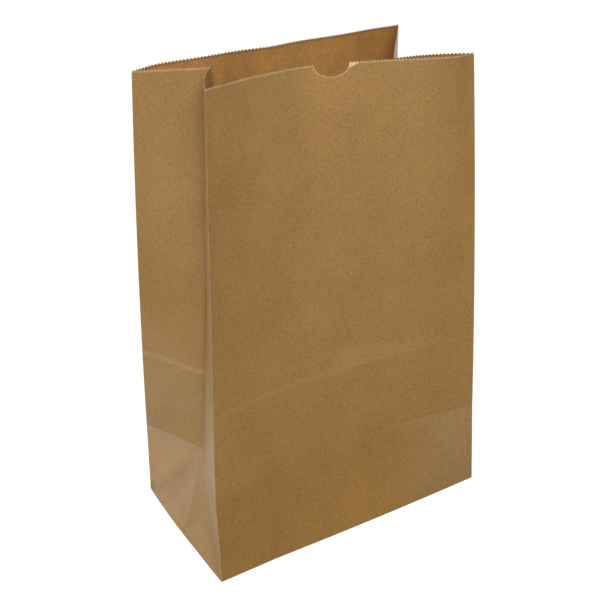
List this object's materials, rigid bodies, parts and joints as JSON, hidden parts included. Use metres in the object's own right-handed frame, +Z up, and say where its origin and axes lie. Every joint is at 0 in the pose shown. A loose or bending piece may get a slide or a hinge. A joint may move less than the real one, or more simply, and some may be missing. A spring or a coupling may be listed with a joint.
{
  "type": "paper grocery bag",
  "caption": "Tall open-topped brown paper bag with folded side gussets, a flat glued base, a toothed mouth edge and a thumb notch, standing open to hold groceries.",
  "frame": {"origin": "middle of the base, on the surface that the bag stands on", "axes": "+Z up the bag to its mouth, X across the width, -Y the front panel with the thumb notch"},
  "size_m": [0.3357, 0.1663, 0.456],
  "materials": {
    "kraft": "matte"
  },
  "bodies": {
    "root": {"bag": "kraft"}
  },
  "joints": []
}
